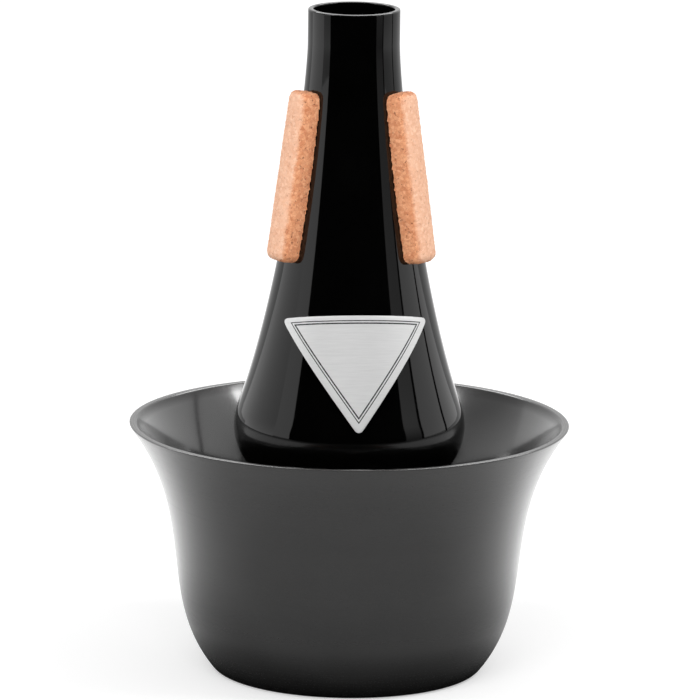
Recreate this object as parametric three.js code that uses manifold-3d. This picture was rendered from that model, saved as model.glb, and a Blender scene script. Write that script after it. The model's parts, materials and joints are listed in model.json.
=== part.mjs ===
// Trumpet cup mute: a cone that three corks hold in the bell, and a cup hung below it on a stud,
// pushed down by a spring against a thumb nut that sets how far the cup stands from the bell.
// Millimetres, +Z up. The origin is the centre of the cup's resting face, and the front is -Y.
import * as THREE from "three";
import { mergeVertices } from "three/addons/utils/BufferGeometryUtils.js";
import Module from "manifold-3d";

// Fits
const seatGap = 0.2; // between faces that sit on each other
const runningGap = 0.3; // around the stud, and between a bush and its hole
const glueGap = 0.3; // under the corks and the badge
const cutOverrun = 1; // how far a cutting shape runs past what it cuts
const weldDistance = 0.001; // vertices closer than this are one

// Cup
const cupRimRadius = 66;
const cupHeight = 75.5;
const cupFootRadius = 39.9;
const cupWall = 1.8;
const cupLipRound = 0.4;
const cupFootRound = 1.6;
const cupFloorRound = 4;
const cupBellyShares = [0.887, 0.294]; // handles of the wall's curve, over rim radius and height
const cupWaistShares = [0.667, 0.606];

// Well pressed up into the cup's base, which hides the thumb nut
const wellRadius = 17;
const wellDepth = 20.3;
const wellMouthRound = 1.6;
const wellRound = 3;
const hubPlateThickness = 2.2;

// Cone, whose flank runs from a rounded base edge to a short straight tube
const coneBaseHeight = 57.2;
const coneLength = 144;
const coneBaseFlatRadius = 17.3; // of the flat base inside its rounded edge
const coneBaseEdgeRadius = 17.4;
const coneFlankDegrees = 19.6;
const coneWall = 1.6;
const tubeRadius = 13.7;
const tubeLength = 10;
const tubeLipRound = 0.4;
const flankHandleShare = 0.363; // handles of the flank's curve, over the flank's height
const tubeHandleShare = 0.108;

// End cap, seated inside the cone's base
const capLedge = 2; // of the cone's flat base, left round the cap's opening
const capFlangeLap = 2; // of the cap's flange over that ledge
const capFlangeThickness = 2.5;
const capBossRadius = 8.5;
const capBossHeight = 4;
const capRound = 0.5;

// Stud, its nuts and its washers
const studRadius = 4;
const studChamfer = 0.8;
const studEndRecess = 3; // above the resting face when the cup is fully up
const studTopProtrusion = 3;
const cupTravel = 10;
const nutAcrossFlats = 13;
const nutChamfer = 0.9;
const lockNutHeight = 6.5;
const jamNutHeight = 4;
const washerRadius = 8;
const washerThickness = 1.4;
const fibreWasherRadius = 10.5;
const fibreWasherThickness = 1.6;
const washerRound = 0.3;

// Spring and its two seats
const springRadius = 7.2; // at the middle of the wire
const springWire = 1.4;
const springCurls = 6;
const seatRimLap = 1.7; // of a seat past the outside of the spring
const seatThickness = 1.2;
const seatCollarGap = 0.6; // between a seat's collar and the inside of the spring
const seatCollarLength = 2.6;
const seatRound = 0.4;
const feltRadius = 9.2;
const feltThickness = 2;
const feltRound = 0.5;

// Flanged bush in the cup's hub
const bushFlangeRadius = 9;
const bushFlangeThickness = 1.2;
const bushSleeveRadius = 5.9;
const bushRound = 0.3;

// Thumb nut
const knobRecess = 2.5; // above the resting face
const knobRadius = 11.2;
const knobHeight = 9;
const knobFlutes = 18;
const knobFluteDepth = 0.9;
const knobBevel = 0.9;
const knobNeckRadius = 7.6;
const knobNeckRound = 0.5;
const knobFloor = 1.6; // under the threaded insert
const knobMouthGap = 0.7; // around the stud in that floor
const insertRadius = 5.7;
const insertRound = 0.3;
const nutWasherRadius = 9.5;
const nutWasherThickness = 1;

// Corks, laid along the flank and cut to its curve
const corkBelowTube = 13.9;
const corkLength = 51.3;
const corkWidth = 10.7;
const corkThickness = 6;
const corkCrown = 0.5;
const corkEdgeRound = 3;
const corkEndRound = 2.2;
const corkRootDepth = 4.5;
const corkTurnDegrees = 60; // of the front corks, each way from the front
const corkRearTurnDegrees = 180;

// Badge, a thin flat triangle bent onto the flank
const badgeWidth = 49.6;
const badgeDrop = 36;
const badgeBelowCorks = 12.6;
const badgeThickness = 0.6;
const badgeCornerRadius = 1.3;
const badgeTurnDegrees = 5.8;

// Facets
const shellFacets = 56;
const smallFacets = 20;
const cupWallSteps = 10;
const cupLiningSteps = 7;
const coneEdgeSteps = 6;
const coneFlankSteps = 8;
const coneLiningStride = 2; // the lining keeps every second point of the outside
const roundSteps = 2;
const cornerLimitShare = 0.45; // the most of an edge that a rounded corner may use
const springStepsPerCurl = 8;
const springSides = 5;
const fluteSteps = 4;
const corkCurveSteps = 3;
const corkEndSteps = 2;
const badgeColumns = 14;
const badgeRows = 7;
const badgeCornerSteps = 2;
const badgeTipShare = 0.9; // how far round its corner the tip's last row lies
const fineSteps = 60;

const wasm = await Module();
wasm.setup();

// Places and radii that follow from the sizes above
const coneTop = coneBaseHeight + coneLength;
const tubeFootHeight = coneTop - tubeLength;
const corkTopHeight = tubeFootHeight - corkBelowTube;
const badgeTopHeight = corkTopHeight - corkLength - badgeBelowCorks;
const capOpeningRadius = coneBaseFlatRadius - capLedge;
const capFlangeRadius = capOpeningRadius + capFlangeLap;
const seatRimRadius = springRadius + springWire / 2 + seatRimLap;
const seatCollarRadius = springRadius - springWire / 2 - seatCollarGap;

// Heights of the stack on the stud, from the resting face up, with the cup fully down
const nutWasherTop = wellDepth - seatGap;
const nutWasherBase = nutWasherTop - nutWasherThickness;
const knobTop = nutWasherBase - seatGap;
const insertBase = knobRecess + knobFloor + seatGap;
const hubTop = wellDepth + hubPlateThickness;
const bushFlangeBase = hubTop + seatGap;
const feltBase = bushFlangeBase + bushFlangeThickness + seatGap;
const lowerSeatBase = feltBase + feltThickness + seatGap;
const springBase = lowerSeatBase + seatThickness + seatGap;
const fibreWasherBase = coneBaseHeight - seatGap - fibreWasherThickness;
const jamNutBase = fibreWasherBase - seatGap - jamNutHeight;
const upperSeatTop = jamNutBase - seatGap;
const springTop = upperSeatTop - seatThickness - seatGap;
const capFlangeBase = coneBaseHeight + coneWall + seatGap;
const capFlangeTop = capFlangeBase + capFlangeThickness;
const capBossTop = capFlangeTop + capBossHeight;
const washerBase = capBossTop + seatGap;
const lockNutBase = washerBase + washerThickness + seatGap;
const studTop = lockNutBase + lockNutHeight + studTopProtrusion;
const studBase = studEndRecess + cupTravel;
const studHole = studRadius + runningGap;

// Materials, one for each piece
function finish(color, roughness, metalness) {
  return new THREE.MeshStandardMaterial({ color, roughness, metalness });
}
const blackLacquer = () => finish(0x0b0b0d, 0.12, 0);
const satinGraphite = () => finish(0x45474a, 0.42, 0.7);
const cork = () => finish(0xdfa173, 0.9, 0);
const brushedSilver = () => finish(0xc8c9cb, 0.35, 0.9);
const steel = () => finish(0xb6b9bd, 0.3, 1);
const brass = () => finish(0xb8924a, 0.3, 1);
const blackNylon = () => finish(0x1a1a1b, 0.5, 0);
const felt = () => finish(0xcfc8b8, 1, 0);

// Solids and meshes
function toSolid(geometry) {
  const bare = geometry.clone();
  bare.deleteAttribute("normal");
  bare.deleteAttribute("uv");
  const welded = mergeVertices(bare, weldDistance);
  const vertProperties = welded.getAttribute("position").array;
  const triVerts = new Uint32Array(welded.index.array);
  return new wasm.Manifold(new wasm.Mesh({ numProp: 3, vertProperties, triVerts }));
}

function toGeometry(solid) {
  const { vertProperties, triVerts } = solid.getMesh();
  const geometry = new THREE.BufferGeometry();
  geometry.setAttribute("position", new THREE.BufferAttribute(vertProperties, 3));
  geometry.setIndex(new THREE.BufferAttribute(triVerts, 1));
  geometry.computeVertexNormals();
  return geometry;
}

function subtract(geometry, ...cutters) {
  const left = cutters.reduce((solid, cutter) => solid.subtract(toSolid(cutter)), toSolid(geometry));
  return toGeometry(left);
}

function piece(name, geometry, material) {
  const mesh = new THREE.Mesh(geometry, material);
  mesh.name = name;
  return mesh;
}

// The points of a closed outline given as corners [radius, height, rounding]
function rounded(corners) {
  const places = corners.map(([radius, height]) => new THREE.Vector2(radius, height));
  const points = [];
  corners.forEach(([, , rounding = 0], i) => {
    const place = places[i];
    const before = places[(i + places.length - 1) % places.length];
    const after = places[(i + 1) % places.length];
    if (!rounding) {
      points.push(place);
      return;
    }
    const shortest = Math.min(place.distanceTo(before), place.distanceTo(after));
    const reach = Math.min(rounding, shortest * cornerLimitShare);
    const start = place.clone().add(before.clone().sub(place).setLength(reach));
    const end = place.clone().add(after.clone().sub(place).setLength(reach));
    points.push(...new THREE.QuadraticBezierCurve(start, place, end).getPoints(roundSteps));
  });
  return points;
}

// A profile turned about the vertical axis; it runs upwards and starts and ends on the axis, or closes on itself
function turned(profile, facets) {
  return new THREE.LatheGeometry(profile, facets).rotateX(Math.PI / 2);
}

// A closed outline clear of the axis, turned with its faces pointing out whichever way it was drawn
function ring(corners, facets) {
  const points = rounded(corners);
  if (THREE.ShapeUtils.isClockWise(points)) points.reverse();
  return turned([...points, points[0]], facets);
}

// A solid of revolution from corners that run up from the axis and back to it
function turning(corners, facets) {
  return turned(
    corners.map(([radius, height]) => new THREE.Vector2(radius, height)),
    facets,
  );
}

// A washer or sleeve: a plain ring between two radii and two heights, its outer edges broken
function washer(inner, outer, base, thickness, rounding) {
  const top = base + thickness;
  const corners = [
    [inner, base],
    [outer - rounding, base],
    [outer, base + rounding],
    [outer, top - rounding],
    [outer - rounding, top],
    [inner, top],
  ];
  return ring(corners, smallFacets);
}

// A line's points moved sideways, to its left as it is walked
function offsetLine(points, distance) {
  return points.map((point, i) => {
    const before = points[Math.max(i - 1, 0)];
    const after = points[Math.min(i + 1, points.length - 1)];
    const along = after.clone().sub(before).normalize();
    return new THREE.Vector2(point.x - along.y * distance, point.y + along.x * distance);
  });
}

// The part of a rising line between two heights
function between(points, low, high) {
  const at = (a, b, height) => a.clone().lerp(b, (height - a.y) / (b.y - a.y));
  const kept = [];
  points.slice(1).forEach((b, i) => {
    const a = points[i];
    if (a.y < low && b.y > low) kept.push(at(a, b, low));
    if (b.y > low && b.y < high) kept.push(b);
    if (a.y < high && b.y >= high) kept.push(at(a, b, high));
  });
  return kept;
}

const asCorners = (points) => points.map(({ x, y }) => [x, y]);

// Cup
function cupWallCurve() {
  const [bellyRadiusShare, bellyHeightShare] = cupBellyShares;
  const [waistRadiusShare, waistHeightShare] = cupWaistShares;
  return new THREE.CubicBezierCurve(
    new THREE.Vector2(cupFootRadius, 0),
    new THREE.Vector2(cupRimRadius * bellyRadiusShare, cupHeight * bellyHeightShare),
    new THREE.Vector2(cupRimRadius * waistRadiusShare, cupHeight * waistHeightShare),
    new THREE.Vector2(cupRimRadius, cupHeight),
  );
}

function cupShell() {
  const outside = cupWallCurve().getPoints(cupWallSteps);
  const lining = between(offsetLine(cupWallCurve().getPoints(fineSteps), cupWall), cupWall, cupHeight);
  const stride = Math.ceil(lining.length / cupLiningSteps);
  const inside = lining.filter((point, i) => i && i % stride === 0 && i + stride < lining.length);
  const [floorEdge, lip] = [lining[0], lining.at(-1)];
  const corners = [
    [bushSleeveRadius + runningGap, wellDepth],
    [wellRadius, wellDepth, wellRound],
    [wellRadius, 0, wellMouthRound],
    [cupFootRadius, 0, cupFootRound],
    ...asCorners(outside.slice(1, -1)),
    [cupRimRadius, cupHeight, cupLipRound],
    [lip.x, lip.y, cupLipRound],
    ...asCorners(inside.reverse()),
    [floorEdge.x, floorEdge.y, cupFloorRound],
    [wellRadius + cupWall, cupWall, cupFloorRound],
    [wellRadius + cupWall, hubTop, wellRound],
    [bushSleeveRadius + runningGap, hubTop],
  ];
  return ring(corners, shellFacets);
}

function hubBush() {
  const top = bushFlangeBase + bushFlangeThickness;
  const corners = [
    [studHole, wellDepth],
    [bushSleeveRadius, wellDepth, bushRound],
    [bushSleeveRadius, bushFlangeBase],
    [bushFlangeRadius, bushFlangeBase],
    [bushFlangeRadius, top, bushRound],
    [studHole, top],
  ];
  return ring(corners, smallFacets);
}

// Cone
function coneOutline(edgeSteps, flankSteps) {
  const flankAngle = THREE.MathUtils.degToRad(coneFlankDegrees);
  const centre = new THREE.Vector2(coneBaseFlatRadius, coneBaseHeight + coneBaseEdgeRadius);
  const edge = [];
  for (let i = 0; i <= edgeSteps; i += 1) {
    const angle = THREE.MathUtils.lerp(-Math.PI / 2, flankAngle, i / edgeSteps);
    const spoke = new THREE.Vector2(Math.cos(angle), Math.sin(angle)).multiplyScalar(coneBaseEdgeRadius);
    edge.push(centre.clone().add(spoke));
  }
  const foot = edge.at(-1);
  const tubeFoot = new THREE.Vector2(tubeRadius, tubeFootHeight);
  const rise = tubeFoot.y - foot.y;
  const climb = new THREE.Vector2(-Math.sin(flankAngle), Math.cos(flankAngle));
  const flank = new THREE.CubicBezierCurve(
    foot,
    foot.clone().addScaledVector(climb, rise * flankHandleShare),
    new THREE.Vector2(tubeRadius, tubeFoot.y - rise * tubeHandleShare),
    tubeFoot,
  );
  return [...edge, ...flank.getPoints(flankSteps).slice(1), new THREE.Vector2(tubeRadius, coneTop)];
}

function coneShell() {
  const outside = coneOutline(coneEdgeSteps, coneFlankSteps);
  const inside = offsetLine(outside, coneWall).filter((point, i) => i % coneLiningStride === 0);
  const corners = [
    [capOpeningRadius, coneBaseHeight],
    ...asCorners(outside.slice(0, -1)),
    [tubeRadius, coneTop, tubeLipRound],
    [tubeRadius - coneWall, coneTop, tubeLipRound],
    ...asCorners(inside.reverse()),
    [capOpeningRadius, coneBaseHeight + coneWall],
  ];
  return ring(corners, shellFacets);
}

function endCap() {
  const spigotRadius = capOpeningRadius - seatGap;
  const corners = [
    [studHole, coneBaseHeight],
    [spigotRadius, coneBaseHeight, capRound],
    [spigotRadius, capFlangeBase],
    [capFlangeRadius, capFlangeBase],
    [capFlangeRadius, capFlangeTop, capRound],
    [capBossRadius, capFlangeTop],
    [capBossRadius, capBossTop, capRound],
    [studHole, capBossTop],
  ];
  return ring(corners, smallFacets);
}

// The filled cone, grown by the glue's thickness, which cuts the backs of the corks
function corkCutter() {
  const surface = offsetLine(coneOutline(coneEdgeSteps, fineSteps), -glueGap);
  const top = surface.at(-1);
  return turning([[0, surface[0].y], ...asCorners(surface), [0, top.y]], shellFacets);
}

// Where the flank is at a height, from the base up
function flankPoint(height) {
  const surface = coneOutline(coneEdgeSteps, fineSteps);
  const i = surface.findIndex((point) => point.y >= height);
  const [a, b] = [surface[i - 1], surface[i]];
  return a.clone().lerp(b, (height - a.y) / (b.y - a.y));
}

function corkStrip(turnDegrees) {
  const half = corkWidth / 2;
  const face = corkThickness - corkCrown;
  const section = new THREE.Shape();
  section.moveTo(-half, -corkRootDepth);
  section.lineTo(half, -corkRootDepth);
  section.lineTo(half, face - corkEdgeRound);
  section.quadraticCurveTo(half, face, half - corkEdgeRound, face);
  section.quadraticCurveTo(0, corkThickness + corkCrown, corkEdgeRound - half, face);
  section.quadraticCurveTo(-half, face, -half, face - corkEdgeRound);
  const strip = new THREE.ExtrudeGeometry(section, {
    depth: corkLength - 2 * corkEndRound,
    steps: 1,
    curveSegments: corkCurveSteps,
    bevelThickness: corkEndRound,
    bevelSize: corkEndRound,
    bevelOffset: -corkEndRound,
    bevelSegments: corkEndSteps,
  });
  const top = flankPoint(corkTopHeight);
  const slope = top.clone().sub(flankPoint(corkTopHeight - corkLength)).normalize();
  const foot = top.clone().addScaledVector(slope, corkEndRound - corkLength);
  const along = new THREE.Vector3(0, -slope.x, slope.y);
  const outward = new THREE.Vector3(0, -slope.y, -slope.x);
  const across = new THREE.Vector3().crossVectors(outward, along);
  const placing = new THREE.Matrix4().makeBasis(across, outward, along);
  placing.setPosition(0, -foot.x, foot.y);
  strip.applyMatrix4(placing);
  strip.rotateZ(THREE.MathUtils.degToRad(turnDegrees));
  return subtract(strip, corkCutter());
}

// Half the badge's width at a depth below its top edge, with its three corners rounded
function badgeOutline() {
  const tipAngle = Math.atan2(badgeWidth / 2, badgeDrop);
  const side = badgeDrop * Math.sin(tipAngle);
  const round = badgeCornerRadius;
  const cornerCentre = (side - round - round * Math.sin(tipAngle)) / Math.cos(tipAngle);
  const tipCentre = badgeDrop - round / Math.sin(tipAngle);
  const rows = [];
  for (let i = 0; i <= badgeCornerSteps; i += 1) {
    const angle = THREE.MathUtils.lerp(-Math.PI / 2, tipAngle, i / badgeCornerSteps);
    rows.push([cornerCentre + round * Math.cos(angle), round + round * Math.sin(angle)]);
  }
  const [sideStart, depthStart] = rows.at(-1);
  const lastAngle = THREE.MathUtils.lerp(tipAngle, Math.PI / 2, badgeTipShare);
  const [sideEnd, depthEnd] = [round * Math.cos(tipAngle), tipCentre + round * Math.sin(tipAngle)];
  for (let i = 1; i <= badgeRows; i += 1) {
    const share = i / badgeRows;
    rows.push([THREE.MathUtils.lerp(sideStart, sideEnd, share), THREE.MathUtils.lerp(depthStart, depthEnd, share)]);
  }
  for (let i = 1; i <= badgeCornerSteps; i += 1) {
    const angle = THREE.MathUtils.lerp(tipAngle, lastAngle, i / badgeCornerSteps);
    rows.push([round * Math.cos(angle), tipCentre + round * Math.sin(angle)]);
  }
  return rows;
}

// A closed sheet over a grid of rows and columns, from a function that places each corner on either face
function closedSheet(rows, columns, place) {
  const positions = [];
  const index = [];
  const corner = (row, column, face) => (face * (rows + 1) + row) * (columns + 1) + column;
  const quad = (a, b, c, d) => index.push(a, b, c, a, c, d);
  for (const face of [0, 1]) {
    for (let row = 0; row <= rows; row += 1) {
      for (let column = 0; column <= columns; column += 1) {
        positions.push(...place(row, column, face));
      }
    }
  }
  for (let row = 0; row < rows; row += 1) {
    for (let column = 0; column < columns; column += 1) {
      const [a, b] = [corner(row, column, 1), corner(row + 1, column, 1)];
      const [c, d] = [corner(row + 1, column + 1, 1), corner(row, column + 1, 1)];
      const back = corner(0, 0, 1);
      quad(a, b, c, d);
      quad(a - back, d - back, c - back, b - back);
    }
    quad(corner(row, 0, 0), corner(row + 1, 0, 0), corner(row + 1, 0, 1), corner(row, 0, 1));
    quad(
      corner(row, columns, 1),
      corner(row + 1, columns, 1),
      corner(row + 1, columns, 0),
      corner(row, columns, 0),
    );
  }
  for (let column = 0; column < columns; column += 1) {
    quad(corner(0, column, 0), corner(0, column, 1), corner(0, column + 1, 1), corner(0, column + 1, 0));
    quad(
      corner(rows, column, 1),
      corner(rows, column, 0),
      corner(rows, column + 1, 0),
      corner(rows, column + 1, 1),
    );
  }
  const sheet = new THREE.BufferGeometry();
  sheet.setAttribute("position", new THREE.Float32BufferAttribute(positions, 3));
  sheet.setIndex(index);
  return sheet;
}

// The spot a distance along a line, and the line's direction there
function alongLine(line, distance) {
  let left = distance;
  let i = 1;
  while (i < line.length - 1 && left > line[i].distanceTo(line[i - 1])) {
    left -= line[i].distanceTo(line[i - 1]);
    i += 1;
  }
  const step = line[i].clone().sub(line[i - 1]).normalize();
  return { spot: line[i - 1].clone().addScaledVector(step, left), step };
}

// The plate is flat before it is bent: a spot at a distance from the flank's apex stays at that distance
function badgePlate() {
  const outline = badgeOutline();
  const top = flankPoint(badgeTopHeight);
  const below = flankPoint(badgeTopHeight - badgeDrop);
  const lean = (below.x - top.x) / below.distanceTo(top);
  const apexDistance = top.x / lean;
  const surface = coneOutline(coneEdgeSteps, fineSteps).reverse();
  const downFlank = [top, ...surface.filter((point) => point.y < badgeTopHeight)];
  const front = THREE.MathUtils.degToRad(badgeTurnDegrees) - Math.PI / 2;
  const place = (row, column, face) => {
    const [half, depth] = outline[row];
    const side = half * ((2 * column) / badgeColumns - 1);
    const fromApex = Math.hypot(side, apexDistance + depth);
    const angle = front + Math.atan2(side, apexDistance + depth) / lean;
    const { spot, step } = alongLine(downFlank, fromApex - apexDistance);
    const lift = glueGap + face * badgeThickness;
    const radius = spot.x - step.y * lift;
    return [radius * Math.cos(angle), radius * Math.sin(angle), spot.y + step.x * lift];
  };
  return closedSheet(outline.length - 1, badgeColumns, place);
}

// Stud, nuts and washers
function stud() {
  const profile = [
    [0, studBase],
    [studRadius - studChamfer, studBase],
    [studRadius, studBase + studChamfer],
    [studRadius, studTop - studChamfer],
    [studRadius - studChamfer, studTop],
    [0, studTop],
  ];
  return turning(profile, smallFacets);
}

function hexNut(base, height) {
  const cornerRadius = nutAcrossFlats / Math.sqrt(3);
  const hexagon = new THREE.CylinderGeometry(cornerRadius, cornerRadius, height, 6);
  hexagon.rotateX(Math.PI / 2);
  hexagon.translate(0, 0, base + height / 2);
  const top = base + height;
  const blank = ring(
    [
      [studHole, base],
      [cornerRadius - nutChamfer, base],
      [cornerRadius, base + nutChamfer / 2],
      [cornerRadius, top - nutChamfer / 2],
      [cornerRadius - nutChamfer, top],
      [studHole, top],
    ],
    smallFacets,
  );
  return toGeometry(toSolid(hexagon).intersect(toSolid(blank)));
}

// A spring seat: a rimmed washer with a collar that keeps the spring centred; side is 1 up or -1 down
function springSeat(face, side) {
  const back = face - side * seatThickness;
  const tip = face + side * seatCollarLength;
  const corners = [
    [studHole, back],
    [seatRimRadius, back, seatRound],
    [seatRimRadius, face, seatRound],
    [seatCollarRadius, face],
    [seatCollarRadius, tip, seatRound],
    [studHole, tip],
  ];
  return ring(corners, smallFacets);
}

// Spring: one wire wound round the stud, whose two ends stand straight on the seats
function springLine(stepsPerCurl) {
  const points = [new THREE.Vector3(springRadius, 0, springBase)];
  const low = springBase + springWire;
  const high = springTop - springWire;
  const steps = springCurls * stepsPerCurl;
  for (let i = 0; i <= steps; i += 1) {
    const angle = (i / stepsPerCurl) * 2 * Math.PI;
    const height = THREE.MathUtils.lerp(low, high, i / steps);
    points.push(new THREE.Vector3(springRadius * Math.cos(angle), springRadius * Math.sin(angle), height));
  }
  const end = points.at(-1);
  points.push(new THREE.Vector3(end.x, end.y, springTop));
  return points;
}

// A closed tube of few sides along a line, each ring mitred between the line's two directions there
function wireTube(points, radius, sides) {
  const positions = [];
  const index = [];
  points.forEach((point, i) => {
    const before = points[Math.max(i - 1, 0)];
    const after = points[Math.min(i + 1, points.length - 1)];
    const incoming = (i ? point.clone().sub(before) : after.clone().sub(point)).normalize();
    const outgoing = (i < points.length - 1 ? after.clone().sub(point) : incoming.clone()).normalize();
    const mitre = incoming.clone().add(outgoing).normalize();
    const spoke = new THREE.Vector3(point.x, point.y, 0).normalize();
    const outward = spoke.addScaledVector(mitre, -spoke.dot(mitre)).normalize();
    const sideways = new THREE.Vector3().crossVectors(mitre, outward);
    for (let k = 0; k < sides; k += 1) {
      const angle = (k / sides) * 2 * Math.PI;
      const corner = point.clone();
      corner.addScaledVector(outward, radius * Math.cos(angle));
      corner.addScaledVector(sideways, radius * Math.sin(angle));
      positions.push(...corner.toArray());
    }
  });
  const last = points.length - 1;
  for (let i = 0; i < last; i += 1) {
    for (let k = 0; k < sides; k += 1) {
      const next = (k + 1) % sides;
      const [a, b] = [i * sides + k, i * sides + next];
      const [c, d] = [b + sides, a + sides];
      index.push(a, b, c, a, c, d);
    }
  }
  for (let k = 1; k < sides - 1; k += 1) {
    index.push(0, k + 1, k);
    index.push(last * sides, last * sides + k, last * sides + k + 1);
  }
  const tube = new THREE.BufferGeometry();
  tube.setAttribute("position", new THREE.Float32BufferAttribute(positions, 3));
  tube.setIndex(index);
  return tube;
}

// The least distance between the wire's surface and itself, half a curl or more further along
function leastSpringGap() {
  const points = springLine(fineSteps);
  let least = Infinity;
  points.forEach((point, i) => {
    for (let j = i + fineSteps / 2; j < points.length; j += 1) {
      least = Math.min(least, point.distanceTo(points[j]));
    }
  });
  return least - springWire;
}

// Thumb nut
function thumbNutKnob() {
  const flutePoints = [];
  const count = knobFlutes * fluteSteps;
  for (let i = 0; i < count; i += 1) {
    const angle = (i / count) * 2 * Math.PI;
    const dip = (1 - Math.cos(angle * knobFlutes)) / 2;
    const radius = knobRadius - knobFluteDepth * dip;
    flutePoints.push(new THREE.Vector2(radius * Math.cos(angle), radius * Math.sin(angle)));
  }
  const wheel = new THREE.ExtrudeGeometry(new THREE.Shape(flutePoints), {
    depth: knobHeight - 2 * knobBevel,
    steps: 1,
    bevelThickness: knobBevel,
    bevelSize: knobBevel,
    bevelOffset: -knobBevel,
    bevelSegments: roundSteps,
  });
  wheel.translate(0, 0, knobRecess + knobBevel);
  const neckBase = knobRecess + knobHeight / 2;
  const neck = ring(
    [
      [studRadius, neckBase],
      [knobNeckRadius, neckBase],
      [knobNeckRadius, knobTop, knobNeckRound],
      [studRadius, knobTop],
    ],
    smallFacets,
  );
  const mouth = studRadius + knobMouthGap;
  const pocket = insertRadius + seatGap;
  const low = knobRecess - cutOverrun;
  const high = knobTop + cutOverrun;
  const pocketBase = insertBase - seatGap;
  const bore = turning(
    [
      [0, low],
      [mouth, low],
      [mouth, pocketBase],
      [pocket, pocketBase],
      [pocket, high],
      [0, high],
    ],
    smallFacets,
  );
  return toGeometry(toSolid(wheel).add(toSolid(neck)).subtract(toSolid(bore)));
}

const cup = new THREE.Group();
cup.add(piece("cup_shell", cupShell(), satinGraphite()));
cup.add(piece("hub_bush", hubBush(), brass()));

const springCarrier = new THREE.Group();
springCarrier.add(piece("felt_washer", washer(studHole, feltRadius, feltBase, feltThickness, feltRound), felt()));
springCarrier.add(piece("spring_lower_seat", springSeat(lowerSeatBase + seatThickness, 1), steel()));
springCarrier.add(
  piece("spring", wireTube(springLine(springStepsPerCurl), springWire / 2, springSides), steel()),
);

const coneGroup = new THREE.Group();
coneGroup.add(piece("cone_shell", coneShell(), blackLacquer()));
coneGroup.add(piece("end_cap", endCap(), blackNylon()));
coneGroup.add(piece("cork_left", corkStrip(-corkTurnDegrees), cork()));
coneGroup.add(piece("cork_right", corkStrip(corkTurnDegrees), cork()));
coneGroup.add(piece("cork_rear", corkStrip(corkRearTurnDegrees), cork()));
coneGroup.add(piece("badge_plate", badgePlate(), brushedSilver()));
coneGroup.add(piece("stud", stud(), steel()));
coneGroup.add(piece("stud_lock_nut", hexNut(lockNutBase, lockNutHeight), steel()));
coneGroup.add(
  piece("stud_washer", washer(studHole, washerRadius, washerBase, washerThickness, washerRound), steel()),
);
coneGroup.add(piece("stud_jam_nut", hexNut(jamNutBase, jamNutHeight), steel()));
coneGroup.add(
  piece(
    "fibre_washer",
    washer(studHole, fibreWasherRadius, fibreWasherBase, fibreWasherThickness, washerRound),
    blackNylon(),
  ),
);
coneGroup.add(piece("spring_upper_seat", springSeat(upperSeatTop - seatThickness, -1), steel()));

const thumbNut = new THREE.Group();
thumbNut.add(piece("thumb_nut_knob", thumbNutKnob(), blackNylon()));
thumbNut.add(
  piece(
    "thumb_nut_insert",
    washer(studHole, insertRadius, insertBase, knobTop - insertBase, insertRound),
    brass(),
  ),
);
thumbNut.add(
  piece(
    "thumb_nut_washer",
    washer(studHole, nutWasherRadius, nutWasherBase, nutWasherThickness, washerRound),
    steel(),
  ),
);

const mute = new THREE.Group();
mute.add(cup, springCarrier, coneGroup, thumbNut);

console.log("least gap between the spring's curls, mm:", leastSpringGap().toFixed(2));

export default mute;
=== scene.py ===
# Trumpet cup mute: a black lacquered cone with three cork strips and a badge plate, standing in a
# satin graphite cup that is held on a threaded stud by a spring and a thumb nut.
import json
import math

import bpy
from mathutils import Matrix, Vector


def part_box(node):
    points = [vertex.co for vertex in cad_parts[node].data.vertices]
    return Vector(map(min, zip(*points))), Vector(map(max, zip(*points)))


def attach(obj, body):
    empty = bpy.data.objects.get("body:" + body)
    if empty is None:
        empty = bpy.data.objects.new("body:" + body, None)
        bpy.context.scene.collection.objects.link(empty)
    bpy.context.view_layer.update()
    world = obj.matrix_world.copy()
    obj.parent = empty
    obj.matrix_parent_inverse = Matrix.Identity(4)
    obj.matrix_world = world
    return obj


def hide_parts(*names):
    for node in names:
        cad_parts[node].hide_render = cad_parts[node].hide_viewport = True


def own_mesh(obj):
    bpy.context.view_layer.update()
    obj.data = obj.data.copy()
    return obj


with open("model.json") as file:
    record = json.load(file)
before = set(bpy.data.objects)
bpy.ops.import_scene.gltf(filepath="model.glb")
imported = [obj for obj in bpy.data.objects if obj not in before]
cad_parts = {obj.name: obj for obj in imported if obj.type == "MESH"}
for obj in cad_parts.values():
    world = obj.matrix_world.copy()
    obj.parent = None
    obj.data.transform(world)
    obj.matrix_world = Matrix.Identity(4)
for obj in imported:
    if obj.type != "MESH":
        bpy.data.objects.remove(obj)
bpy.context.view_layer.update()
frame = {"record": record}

MM = 0.001
WELD = 0.004 * MM  # points closer than this are merged
SHADE_ANGLE = math.radians(32)  # edges flatter than this shade as one surface
TOUCH = 0.02 * MM  # between a glued piece and what carries it
# The _EDGES below say how far a piece's edges are broken, in how many steps, and the least turn in degrees

# Cup, turned from one cubic curve with its two handles given as shares of the rim's radius and height
CUP_FOOT_RADIUS = 39.9 * MM
CUP_WALL = 1.8 * MM
CUP_SKIN = CUP_WALL * 0.7  # deeper in the wall than this counts as its inner side
CUP_LIP_ROUND = 0.7 * MM
CUP_LIP_BAND = CUP_LIP_ROUND * 1.2  # the lip is satin on its inner side too, this far down
CUP_LIP_LOSS = CUP_LIP_ROUND * 0.6  # what the lip's rounding takes off the rim's radius
CUP_FOOT_ROUND = 1.6 * MM
CUP_FLOOR_ROUND = 4 * MM
CUP_BELLY_SHARES = (0.887, 0.294)
CUP_WAIST_SHARES = (0.667, 0.606)
WELL_RADIUS = 17 * MM
WELL_MOUTH_ROUND = 1.6 * MM
WELL_ROUND = 3 * MM
HUB_PLATE = 2.2 * MM
HUB_SKIN = HUB_PLATE * 0.7  # and deeper than this in the plate over its well
HUB_HOLE_GAP = 0.3 * MM
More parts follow.
